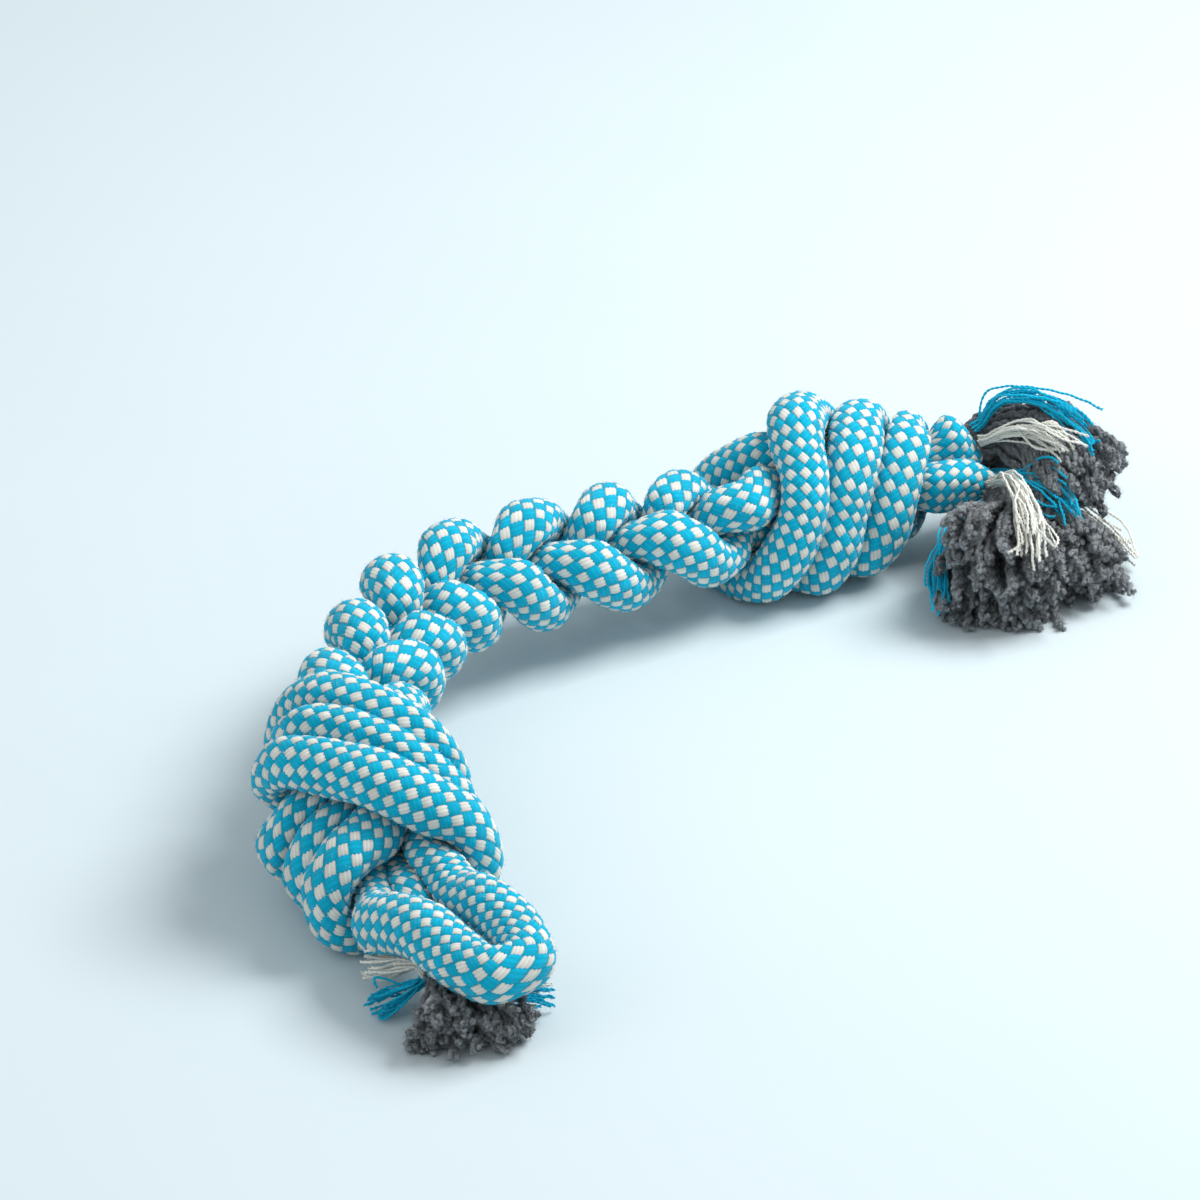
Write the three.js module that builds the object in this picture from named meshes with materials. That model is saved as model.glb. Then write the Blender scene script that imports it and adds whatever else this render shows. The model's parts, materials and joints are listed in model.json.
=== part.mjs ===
// Rope dog toy: a long rope folded in half and a short rope, plaited flat together and tied at
// both ends in an overhand knot.  The fold is the loop at the near end.  The cut ends are frayed.
// Millimetres, +Z up, lying on Z = 0, with the far end away along +Y.
import * as THREE from "three";

// Rope: a braided cover over a bundle of core yarns
const ROPE_DIAMETER = 16;
const CORE_DIAMETER = 9.6;
const CORE_CLEARANCE = 0.3;

// Clearances between neighbouring strands, round the frayed core yarns, round the frayed cover
// yarns, and between two lengths of one strand.  The soft rope settles flat where it lies closer
// to the floor than its settling.
const STRAND_CLEARANCE = 1.0;
const CORE_YARN_CLEARANCE = 0.5;
const COVER_YARN_CLEARANCE = 0.15;
const END_CLEARANCE = 0.3;
const SETTLING = 1.2;

// Plait, measured along the middle line of the toy.  Each of its ends bends over the bend length.
// Its middle is rolled, in degrees, so that its left edge lies higher.
const PLAIT_START = 78;
const PLAIT_WAVE = 91;
const PLAIT_CROSSINGS = 7;
const PLAIT_HALF_WIDTH = 12.8;
const PLAIT_HALF_HEIGHT = 8;
const PLAIT_BEND_LENGTH = 54;
const PLAIT_ROLL = 30;
const ROLL_FADE = 75;

// Knots: distance from the plait to a knot's middle, distance from there to where the strands
// come out, turn about the toy in degrees, lean of the loose wraps, closeness of the strands and
// rounds of pulling.  The tight knot is then stretched along the toy, raked and tapered outward.
const FAR_KNOT = {
  offset: 31, reach: 52, turn: 82, lean: 0.05, packing: 0.84, rounds: 400,
  stretch: 1.16, rake: -0.13, taper: 0.165,
};
const NEAR_KNOT = {
  offset: 42, reach: 46, turn: -82, lean: 0.5, packing: 0.79, rounds: 140,
  stretch: 1, rake: 0, taper: 0,
};

// Facets
const SIDES = 8;
const RING_STEP = 10;

const COLOURS = { cover: 0x4fb4cf, core: 0x4a4d55, blue: 0x10a5d2, beige: 0xd6cfc2 };

const v3 = (x, y, z) => new THREE.Vector3(x, y, z);
const smoothCurve = (points) => new THREE.CatmullRomCurve3(points, false, "centripetal");

// Middle line of the toy, from the loop's root to the far tassel's root
const MIDDLE_LINE = [
  [13, -26, 19.5], [5, 12, 30.3], [1, 50, 39], [7, 96, 37], [22, 138, 35], [45, 160, 33],
  [75, 178, 31], [104, 195, 29.5], [130, 211, 29], [155, 224, 30.5], [181, 235, 29],
];
const middleLine = smoothCurve(MIDDLE_LINE.map((p) => v3(...p)));
middleLine.arcLengthDivisions = 800;
const middleLength = middleLine.getLength();

// Point beside the middle line: distance along it, to the left of it and above it
function beside(along, left, above) {
  const u = THREE.MathUtils.clamp(along / middleLength, 0, 1);
  const tangent = middleLine.getTangentAt(u);
  const up = v3(0, 0, 1).addScaledVector(tangent, -tangent.z).normalize();
  const side = new THREE.Vector3().crossVectors(up, tangent);
  return middleLine.getPointAt(u)
    .addScaledVector(tangent, along - u * middleLength)
    .addScaledVector(side, left)
    .addScaledVector(up, above);
}

// Three-strand flat plait: each strand weaves from side to side, and over and under
const plaitEnd = PLAIT_START + PLAIT_WAVE * PLAIT_CROSSINGS / 3;
function plaitPoint(strand, along) {
  const phase = 2 * Math.PI * ((along - PLAIT_START) / PLAIT_WAVE + strand / 3);
  const inside = Math.min(along - PLAIT_START, plaitEnd - along);
  const roll = THREE.MathUtils.degToRad(PLAIT_ROLL) * THREE.MathUtils.smoothstep(inside, 0, ROLL_FADE);
  return v3(along, PLAIT_HALF_WIDTH * Math.sin(phase), PLAIT_HALF_HEIGHT * Math.sin(2 * phase))
    .applyAxisAngle(v3(1, 0, 0), roll);
}

// Knot paths are worked out in rope diameters, on points this far apart.  The points of each
// strand in the plait and at its way out are held still.  Two points of one strand may touch when
// the strand between them is longer than the turn length.
const STEP = 0.3;
const HELD_IN = 12;
const HELD_OUT = 3;
const TURN_LENGTH = 1.4;
const SHORTENING = 0.3;
const ROUNDS_PER_SPACING = 5;
const CONTACT_PASSES = 6;

// Evenly spaced points along a strand, between its held points
function respace(strand) {
  const middle = strand.slice(HELD_IN - 1, strand.length - HELD_OUT + 1);
  const at = [0];
  for (let i = 1; i < middle.length; i++) at.push(at[i - 1] + middle[i].distanceTo(middle[i - 1]));
  const total = at[at.length - 1];
  const count = Math.round(total / STEP);
  const even = [];
  let k = 0;
  for (let i = 0; i <= count; i++) {
    const want = total * i / count;
    while (k < at.length - 2 && at[k + 1] < want) k++;
    even.push(middle[k].clone().lerp(middle[k + 1], (want - at[k]) / (at[k + 1] - at[k])));
  }
  return [...strand.slice(0, HELD_IN - 1), ...even, ...strand.slice(strand.length - HELD_OUT + 1)];
}

// Pairs of points on different strands, or far apart on one strand, that may touch
function touchingPairs(strands, packing) {
  const ownStretch = TURN_LENGTH / STEP;
  const all = strands.flatMap((strand, k) => strand.map((p, i) => ({
    p, k, i, free: i >= HELD_IN && i < strand.length - HELD_OUT,
  })));
  const pairs = [];
  for (let a = 0; a < all.length; a++) {
    for (let b = a + 1; b < all.length; b++) {
      const one = all[a];
      const two = all[b];
      if (one.k === two.k && two.i - one.i < ownStretch) continue;
      if (one.p.distanceToSquared(two.p) > (packing + STEP) ** 2) continue;
      if (one.free || two.free) pairs.push([one, two]);
    }
  }
  return pairs;
}

// Pull strands tight: each shortens itself, and no two lengths come closer than the packing
function tighten(strands, packing, rounds) {
  let tight = strands;
  for (let round = 0; round < rounds; round++) {
    if (round % ROUNDS_PER_SPACING === 0) tight = tight.map(respace);
    for (const strand of tight) {
      const before = strand.map((p) => p.clone());
      for (let i = HELD_IN; i < strand.length - HELD_OUT; i++) {
        const between = before[i - 1].clone().lerp(before[i + 1], 0.5);
        strand[i].lerp(between, SHORTENING);
      }
    }
    const pairs = touchingPairs(tight, packing);
    for (let pass = 0; pass < CONTACT_PASSES; pass++) {
      for (const [one, two] of pairs) {
        const apart = two.p.clone().sub(one.p);
        const short = packing - apart.length();
        if (short <= 0) continue;
        apart.setLength(one.free && two.free ? short / 2 : short);
        if (one.free) one.p.sub(apart);
        if (two.free) two.p.add(apart);
      }
    }
  }
  return tight;
}

// Overhand knot before it is pulled tight, in rope diameters: half of the path of the ribbon of
// three strands, from the middle of its wrap to its way out along +X, and the ribbon's width
// direction there.  The other half is the same after half a turn about Z.
const KNOT_PATH = [
  [0, 0, 2.3], [-0.3, -2.3, 0.4], [-0.8, -1.75, -1.5], [-1.8, -0.1, -1.55], [-1.5, 0.6, -0.65],
  [0, 0.65, 0], [1.85, 0.35, 0],
];
const KNOT_WIDTH = [
  [1, 0, 0], [1, 0, 0], [1, 0, 0], [1, 0, -0.3], [0.7, 0, -0.7], [0, 0, -1], [0, -0.4, -1],
];
const RIBBON_PITCH = 0.95;
const RIBBON_POINTS = 160;

function knotRibbon() {
  const wayIn = KNOT_PATH.slice(1).reverse().map(([x, y, z]) => v3(-x, -y, z));
  const wayOut = KNOT_PATH.map((p) => v3(...p));
  const widthIn = KNOT_WIDTH.slice(1).reverse().map(([x, y, z]) => v3(x, y, -z));
  const widthOut = KNOT_WIDTH.map((p) => v3(...p));
  const path = smoothCurve([...wayIn, ...wayOut]);
  const width = new THREE.CatmullRomCurve3([...widthIn, ...widthOut], false, "catmullrom");
  const strands = [[], [], []];
  for (let i = 0; i <= RIBBON_POINTS; i++) {
    const t = i / RIBBON_POINTS;
    const tangent = path.getTangent(t);
    const across = width.getPoint(t);
    across.addScaledVector(tangent, -across.dot(tangent)).setLength(RIBBON_PITCH);
    strands.forEach((s, k) => s.push(path.getPoint(t).addScaledVector(across, k - 1)));
  }
  return strands;
}

// One in the middle of a loose knot, falling to nothing where its strands come in and out
const LOOSE_HALF = 3;
const LOOSE_FADE = 1.2;
function knotMiddle(x) {
  return THREE.MathUtils.smoothstep(LOOSE_HALF - Math.abs(x), 0, LOOSE_FADE);
}

// A tight knot between the plait's ends and the three ways out, in rope diameters, +X outward.
// Its stretch, rake and taper fade out over the points next to the held ones.
const FADE_POINTS = 10;
function tieKnot(knot, plaitEnds, waysOut) {
  const turn = THREE.MathUtils.degToRad(knot.turn);
  const strands = knotRibbon().map((ribbon, k) => {
    for (const p of ribbon) {
      p.applyAxisAngle(v3(1, 0, 0), turn);
      p.x += knot.lean * p.y * knotMiddle(p.x);
    }
    const reach = knot.reach / ROPE_DIAMETER / knot.stretch;
    const out = [2, 1, 0].map((i) => v3(reach - i * STEP, ...waysOut[k]));
    const plaitEnd = plaitEnds[k].map((p) => v3(p.x / knot.stretch, p.y, p.z));
    return [...plaitEnd, ...ribbon, ...out];
  });
  const tight = tighten(strands, knot.packing, knot.rounds);
  for (const strand of tight) {
    strand.forEach((p, i) => {
      const fromEnd = Math.min(i - HELD_IN, strand.length - HELD_OUT - 1 - i);
      const middle = THREE.MathUtils.smoothstep(fromEnd, 0, FADE_POINTS);
      const narrowing = 1 - knot.taper * p.x * middle;
      p.set(knot.stretch * (p.x + knot.rake * p.z * middle), p.y * narrowing, p.z * narrowing);
    });
  }
  return tight;
}

// Where each strand leaves its knot, to the left of the knot's middle and above it, in rope
// diameters and looking outward
const FAR_WAYS_OUT = [[-0.55, 0], [0.3, 0.5], [0.25, -0.5]];
const NEAR_WAYS_OUT = [[1.15, 0.4], [0.4, 0.1], [-0.38, 0]];

// The two knots as points in the toy's frame, each strand running outward from the plait
function placeKnot(knot, end, outward, waysOut) {
  const middle = end + outward * knot.offset;
  const held = Array.from({ length: HELD_IN }, (_, i) => HELD_IN - 1 - i);
  const plaitEnds = [0, 1, 2].map((strand) => held.map((i) => {
    const p = plaitPoint(strand, end - outward * i * STEP * ROPE_DIAMETER);
    return v3(outward * (p.x - middle), outward * p.y, p.z).divideScalar(ROPE_DIAMETER);
  }));
  return tieKnot(knot, plaitEnds, waysOut).map((strand) => strand.slice(HELD_IN - 1).map((p) => {
    const q = p.clone().multiplyScalar(ROPE_DIAMETER);
    return beside(middle + outward * q.x, outward * q.y, q.z);
  }));
}
const farKnot = placeKnot(FAR_KNOT, plaitEnd, 1, FAR_WAYS_OUT);
const nearKnot = placeKnot(NEAR_KNOT, PLAIT_START, -1, NEAR_WAYS_OUT);

// Points of one plait strand between two distances along the toy
function plaitStretch(strand, from, to) {
  const count = Math.round(Math.abs(to - from) / (STEP * ROPE_DIAMETER));
  return Array.from({ length: count + 1 }, (_, i) => {
    const p = plaitPoint(strand, from + (to - from) * i / count);
    return beside(p.x, p.y, p.z);
  });
}

// Loop beyond the near knot, from the right leg round to the left leg.  Each leg bends over the
// leg length.
const LOOP_LEG_LENGTH = 24;
const LOOP = [
  [37, -36.7, 29], [45, -46.7, 28.5], [52, -57.6, 27], [54.2, -67.4, 24.5], [48, -74.8, 23],
  [39, -70.8, 23], [30, -60.8, 24.5], [21, -49.4, 26],
];

// Far tails: how far each one's end lies along, left of and above its way out of the knot
const FAR_TAIL_ENDS = [[8, -4, -4], [10, 1, -2], [10, 2, -1]];
function farTail(k) {
  const start = plaitEnd + FAR_KNOT.offset + FAR_KNOT.reach;
  const [left, above] = FAR_WAYS_OUT[k].map((d) => d * ROPE_DIAMETER);
  const [on, aside, up] = FAR_TAIL_ENDS[k];
  return [0, 0.5, 1].map((t) => beside(start + on * t, left + aside * t * t, above + up * t * t));
}

// Near tail, from the near knot down to the floor
const NEAR_TAIL = [[29, -55, 11], [25, -47, 15]];

// The two ropes as lists of named stretches
const bendStart = PLAIT_START + PLAIT_BEND_LENGTH;
const bendEnd = plaitEnd - PLAIT_BEND_LENGTH;
function strandOut(k) {
  return [
    [`near_knot_strand_${k + 1}`, [...nearKnot[k]].reverse()],
    [`plait_strand_${k + 1}_near`, plaitStretch(k, PLAIT_START, bendStart)],
    [`plait_strand_${k + 1}_middle`, plaitStretch(k, bendStart, bendEnd)],
    [`plait_strand_${k + 1}_far`, plaitStretch(k, bendEnd, plaitEnd)],
    [`far_knot_strand_${k + 1}`, farKnot[k]],
    [`far_tail_${k + 1}`, farTail(k)],
  ];
}
const turnedRound = (list) => list.map(([name, points]) => [name, [...points].reverse()]).reverse();
const [rightWay, middleWay, leftWay] = nearKnot.map((strand) => strand.at(-1));
function loopStretches() {
  const curve = smoothCurve([rightWay, ...LOOP.map((p) => v3(...p)), leftWay]);
  const count = Math.round(curve.getLength() / (STEP * ROPE_DIAMETER));
  const points = curve.getSpacedPoints(count);
  const leg = Math.round(count * LOOP_LEG_LENGTH / curve.getLength());
  return [
    ["loop_right_leg", points.slice(0, leg + 1)],
    ["loop_bow", points.slice(leg, count - leg + 1)],
    ["loop_left_leg", points.slice(count - leg)],
  ];
}
const nearTail = [...NEAR_TAIL.map((p) => v3(...p)), middleWay.clone()];
const longRope = [...turnedRound(strandOut(0)), ...loopStretches(), ...strandOut(2)];
const shortRope = [["near_tail", nearTail], ...strandOut(1)];

// A run is a smooth centre line with a point, two cross directions, the curvature and a radius
// at about every millimetre.  Its cross-sections are round, or flattened by a factor upright.
const BEND_SPAN = 4;
const DIVISIONS = 6;
function makeRun(points, radiusAt, flat, clearance) {
  const curve = smoothCurve(points);
  curve.arcLengthDivisions = (points.length - 1) * DIVISIONS;
  const lengths = curve.getLengths();
  const count = Math.round(lengths.at(-1));
  const line = curve.getSpacedPoints(count);
  const step = lengths.at(-1) / count;
  const span = Math.round(BEND_SPAN / step);
  const { normals, binormals } = curve.computeFrenetFrames(count, false);
  const samples = line.map((p, i) => {
    const inner = THREE.MathUtils.clamp(i, span, count - span);
    const bend = line[inner - span].clone().add(line[inner + span])
      .addScaledVector(line[inner], -2).divideScalar(span ** 2);
    return { p, across: normals[i], over: binormals[i], bend, radius: radiusAt(i / count) };
  });
  return { samples, flat, clearance, step, lengths };
}

// One rope: its stretches joined and eased, and where each stretch starts and ends
const EASING_PASSES = 4;
function layRope(stretches) {
  const points = [];
  const marks = [];
  for (const [name, stretch] of stretches) {
    const even = smoothCurve(stretch);
    const count = Math.max(2, Math.round(even.getLength() / (STEP * ROPE_DIAMETER)));
    const spaced = even.getSpacedPoints(count);
    points.push(...(points.length ? spaced.slice(1) : spaced));
    marks.push([name, points.length - 1]);
  }
  for (let pass = 0; pass < EASING_PASSES; pass++) {
    const before = points.map((p) => p.clone());
    for (let i = 1; i < points.length - 1; i++) {
      points[i].lerp(before[i - 1].clone().lerp(before[i + 1], 0.5), 0.5);
    }
  }
  const run = makeRun(points, () => ROPE_DIAMETER / 2, 1, STRAND_CLEARANCE);
  let from = 0;
  const named = marks.map(([name, index]) => {
    const to = run.lengths[index * DIVISIONS];
    const stretch = { name, from, to };
    from = to;
    return stretch;
  });
  return { run, stretches: named };
}
const ropes = [layRope(longRope), layRope(shortRope)];

// Frayed ends: bundles of yarn that spread from the tails.  Each has the points of its centre
// line from the end of its tail, its radii along it, and how flat it lies.
const FRAYED_ENDS = [
  { name: "far_core_yarns_1", tail: "far_1", colour: "core", flat: 1,
    radii: [ROPE_DIAMETER / 2, 12, 19, 22, 20],
    points: [[0.8, -0.4, -0.4], [5, -6, -2.5], [6, -21, -6], [4, -39, -9], [3, -54, -11]] },
  { name: "far_core_yarns_2", tail: "far_2", colour: "core", flat: 1,
    radii: [ROPE_DIAMETER / 2, 12, 15, 17, 16],
    points: [[1.1, 0.5, 0], [9, 2, 3], [22, -4, 2], [33, -12, -4], [38, -19, -9]] },
  { name: "far_core_yarns_3", tail: "far_3", colour: "core", flat: 1,
    radii: [ROPE_DIAMETER / 2, 11, 17, 20, 19],
    points: [[0.4, 0.4, -0.1], [8, 3, -1], [22, -14, -3], [33, -37, -5], [37, -54, -7]] },
  { name: "far_blue_yarns_1", tail: "far_1", colour: "blue", flat: 1, radii: [3, 3, 3.2, 3.2],
    points: [[-3.6, -8.8, 0], [-10.6, -17.8, -3], [-16.6, -33, -8], [-17, -52, -15]] },
  { name: "far_blue_yarns_2", tail: "far_2", colour: "blue", flat: 1, radii: [3, 3, 3.2, 3.2],
    points: [[3, 0, 8], [10, 1, 15], [22, -4, 17], [34, -12, 11], [41, -19, 2]] },
  { name: "far_blue_yarns_3", tail: "far_3", colour: "blue", flat: 1, radii: [3, 3, 3.2, 3.2],
    points: [[5.2, -4.9, 6.3], [14, -13.8, 9.3], [25, -27, 10.2], [34, -40, 6]] },
  { name: "far_beige_yarns_1", tail: "far_1", colour: "beige", flat: 1, radii: [3, 3.5, 3.8, 3.8],
    points: [[3, -4, 7.4], [7, -13, 11.3], [10, -28, 12.3], [12, -44, 9.3], [12, -56, 4]] },
  { name: "far_beige_yarns_2", tail: "far_2", colour: "beige", flat: 1, radii: [3, 3, 3.2, 3.2],
    points: [[5, -6, 5], [14, -9, 9], [24, -16, 9], [32, -23, 4]] },
  { name: "far_beige_yarns_3", tail: "far_3", colour: "beige", flat: 1, radii: [3, 3, 3.2, 3.2],
    points: [[10, 6, -6], [26.5, 5.5, -9], [43, -11, -11], [52, -30.5, -11.5]] },
  { name: "near_core_yarns", tail: "near", colour: "core", flat: 0.42,
    radii: [ROPE_DIAMETER / 2, 15, 25, 27, 22],
    points: [[0.4, -0.8, -0.4], [4, -4.5, -2.2], [9.5, -12, -3], [11.5, -19, -3.5], [12, -25, -4]] },
  { name: "near_blue_yarns_1", tail: "near", colour: "blue", flat: 1, radii: [3, 3.5, 3.5, 3.5],
    points: [[-7, -0.6, -1.6], [-12, -2.6, -3.6], [-17, -4.6, -5.6], [-21, -6.8, -6.8]] },
  { name: "near_blue_yarns_2", tail: "near", colour: "blue", flat: 1, radii: [3, 3.5, 3.5, 3.5],
    points: [[7, -3.5, -2], [16, -4, -3], [26, -3.5, -4], [33, -3, -5]] },
  { name: "near_beige_yarns_1", tail: "near", colour: "beige", flat: 1, radii: [3, 3.5, 3.5, 3.5],
    points: [[-8, 3.6, 2.3], [-12.6, 6.1, 1.1], [-19, 8, -1], [-25, 9, -2]] },
  { name: "near_beige_yarns_2", tail: "near", colour: "beige", flat: 1, radii: [3, 3.2, 3.2, 3.2],
    points: [[7.5, 1, 0], [17, 1.5, 0], [27, 2, -1], [33, 2.5, -1]] },
];
const [longSamples, shortSamples] = ropes.map((rope) => rope.run.samples);
const tailEnds = {
  far_1: longSamples[0].p,
  far_2: shortSamples.at(-1).p,
  far_3: longSamples.at(-1).p,
  near: shortSamples[0].p,
};
function listed(values, t) {
  const at = t * (values.length - 1);
  const i = Math.min(Math.floor(at), values.length - 2);
  return THREE.MathUtils.lerp(values[i], values[i + 1], at - i);
}
const frayedEnds = FRAYED_ENDS.map((end) => {
  const points = end.points.map((p) => tailEnds[end.tail].clone().add(v3(...p)));
  const clearance = end.colour === "core" ? CORE_YARN_CLEARANCE : COVER_YARN_CLEARANCE;
  const run = makeRun(points, (t) => listed(end.radii, t), end.flat, clearance);
  return { ...end, run };
});
const runs = [...ropes.map((rope) => rope.run), ...frayedEnds.map((end) => end.run)];

// Soft contact: where two runs press together each stops at a plane between them.  The thinner
// one keeps its shape as far as it can.  A run also stops at the floor and short of the centre
// of its own bend.
const REACH = 40;
const OWN_STRETCH = 1.6 * ROPE_DIAMETER;
const BEND_LIMIT = 0.85;
const SMALLEST = 0.6;
function contactPlanes(run, index) {
  const { p, radius } = run.samples[index];
  const planes = [];
  for (const other of runs) {
    other.samples.forEach((q, i) => {
      if (other === run && Math.abs(i - index) * run.step < OWN_STRETCH) return;
      const apart = p.distanceTo(q.p);
      if (apart > REACH) return;
      const half = apart / 2;
      const share = radius > q.radius ? apart - Math.min(q.radius, half) : Math.min(radius, half);
      const level = radius === q.radius ? half : share;
      const toward = q.p.clone().sub(p).divideScalar(apart);
      const clearance = Math.min(run.clearance, other.clearance);
      planes.push({ toward, limit: Math.max(level - clearance / 2, SMALLEST) });
    });
  }
  return planes;
}

// Directions round a sample, closer to level on a flattened run, and how far the run may reach in
// each of them
function roundWays({ across, over }, flat) {
  return Array.from({ length: SIDES }, (_, k) => {
    const angle = 2 * Math.PI * k / SIDES;
    const way = across.clone().multiplyScalar(Math.cos(angle)).addScaledVector(over, Math.sin(angle));
    return way.setZ(way.z * flat).normalize();
  });
}
function limitsAt(run, index) {
  const { p, bend } = run.samples[index];
  const planes = contactPlanes(run, index);
  return roundWays(run.samples[index], run.flat).map((way) => {
    let limit = Infinity;
    for (const plane of planes) {
      const facing = way.dot(plane.toward);
      if (facing > 0) limit = Math.min(limit, plane.limit / facing);
    }
    if (way.z < 0) limit = Math.min(limit, p.z / -way.z);
    const inward = way.dot(bend);
    if (inward > 0) limit = Math.min(limit, BEND_LIMIT / inward);
    return limit;
  });
}

// Cross-section of a run as points round it, swelled a little where its neighbours squeeze it.
// It keeps to the closest limits of the samples around it, and stands out from its bend so that
// the straight facets between sections lie on both sides of the curve.
const SWELL_LIMIT = 1.2;
const SWELL_STEP = 0.04;
const AROUND = [-4, -2, 0, 2, 4];
function section(run, index, taper) {
  const sample = run.samples[index];
  const ways = roundWays(sample, run.flat);
  const last = run.samples.length - 1;
  const around = AROUND.map((shift) => THREE.MathUtils.clamp(index + shift, 0, last));
  const limits = around.map((i) => limitsAt(run, i));
  const own = ways.map((way) => {
    return taper * sample.radius / Math.hypot(Math.sqrt(1 - way.z ** 2), way.z / run.flat);
  });
  const closest = ways.map((_, k) => Math.min(...limits.map((limit) => limit[k])));
  const reachAt = (swell) => own.map((r, k) => Math.min(closest[k], r * swell));
  const area = (reach) => reach.reduce((sum, r, k) => sum + r * reach[(k + 1) % SIDES], 0);
  let swell = 1;
  while (swell < SWELL_LIMIT && area(reachAt(swell)) < area(own)) swell += SWELL_STEP;
  const sag = RING_STEP ** 2 / 8;
  const p = sample.p.clone().addScaledVector(sample.bend, -sag / 2);
  return { p, ways, reach: reachAt(swell) };
}

// Points of a section with its reach scaled and then drawn in
function ringPoints({ p, ways, reach }, scale, inset) {
  return ways.map((way, k) => {
    const point = p.clone().addScaledVector(way, reach[k] * scale - inset);
    if (scale === 1 && point.z < SETTLING) point.z = 0;
    return point;
  });
}

// Closed triangles over a list of rings, turned outward, or inward for a bore
function skinFaces(first, ringCount, inward) {
  const faces = [];
  for (let j = 0; j < ringCount - 1; j++) {
    for (let k = 0; k < SIDES; k++) {
      const a = first + j * SIDES + k;
      const b = first + j * SIDES + (k + 1) % SIDES;
      const quad = [[a, b, a + SIDES], [b, b + SIDES, a + SIDES]];
      faces.push(...(inward ? quad.map(([x, y, z]) => [x, z, y]) : quad));
    }
  }
  return faces;
}

function solidFromRings(sections, scale, inset) {
  const points = sections.flatMap((ring) => ringPoints(ring, scale, inset));
  const faces = skinFaces(0, sections.length, false);
  const last = (sections.length - 1) * SIDES;
  const startCentre = points.push(sections[0].p) - 1;
  const endCentre = points.push(sections.at(-1).p) - 1;
  for (let k = 0; k < SIDES; k++) {
    const next = (k + 1) % SIDES;
    faces.push([startCentre, next, k], [endCentre, last + k, last + next]);
  }
  return toGeometry(points, faces);
}

function tubeFromRings(sections, bore) {
  const outer = sections.flatMap((ring) => ringPoints(ring, 1, 0));
  const inner = sections.flatMap((ring) => ringPoints(ring, bore, 0));
  const shift = outer.length;
  const last = (sections.length - 1) * SIDES;
  const faces = [
    ...skinFaces(0, sections.length, false), ...skinFaces(shift, sections.length, true),
  ];
  for (let k = 0; k < SIDES; k++) {
    const next = (k + 1) % SIDES;
    faces.push([k, shift + k, next], [shift + k, shift + next, next]);
    faces.push([last + k, last + next, shift + last + k]);
    faces.push([shift + last + k, last + next, shift + last + next]);
  }
  return toGeometry([...outer, ...inner], faces);
}

function toGeometry(points, faces) {
  const geometry = new THREE.BufferGeometry();
  geometry.setFromPoints(points);
  geometry.setIndex(faces.flat());
  return geometry;
}

// Finishes: cotton cover and core, the same everywhere
function cotton(colour) {
  return new THREE.MeshStandardMaterial({ color: COLOURS[colour], roughness: 0.95, metalness: 0 });
}
const group = new THREE.Group();
group.name = "rope_dog_toy";
function addPiece(name, colour, geometry) {
  const mesh = new THREE.Mesh(geometry, cotton(colour));
  mesh.name = name;
  group.add(mesh);
}

// Rope: each stretch has its cover, a tube, and its core inside
const BORE = CORE_DIAMETER / ROPE_DIAMETER;
for (const { run, stretches } of ropes) {
  for (const { name, from, to } of stretches) {
    const start = from + END_CLEARANCE / 2;
    const length = to - from - END_CLEARANCE;
    const steps = Math.max(1, Math.round(length / RING_STEP));
    const sections = Array.from({ length: steps + 1 }, (_, j) => {
      return section(run, Math.round((start + length * j / steps) / run.step), 1);
    });
    addPiece(`${name}_cover`, "cover", tubeFromRings(sections, BORE));
    addPiece(`${name}_core`, "core", solidFromRings(sections, BORE, CORE_CLEARANCE));
  }
}

// Frayed ends, rounded off at their tips: place along the bundle, and share of its radius there
const FRAYED_RINGS = [
  [0, 1], [0.17, 1], [0.34, 1], [0.51, 1], [0.68, 1], [0.82, 0.96], [0.92, 0.83], [1, 0.5],
];
for (const { name, colour, run } of frayedEnds) {
  const sections = FRAYED_RINGS.map(([t, share]) => {
    return section(run, Math.round(t * (run.samples.length - 1)), share);
  });
  addPiece(name, colour, solidFromRings(sections, 1, 0));
}

// The part's origin is on the floor under the middle of its outline
const box = new THREE.Box3().setFromObject(group);
const middle = box.getCenter(new THREE.Vector3());
for (const mesh of group.children) mesh.geometry.translate(-middle.x, -middle.y, 0);

export default group;
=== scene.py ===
"""Rope dog toy: braided cotton rope, plaited and knotted, with a loop and frayed ends.

Metres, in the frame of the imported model.
"""

import json
import math

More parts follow.
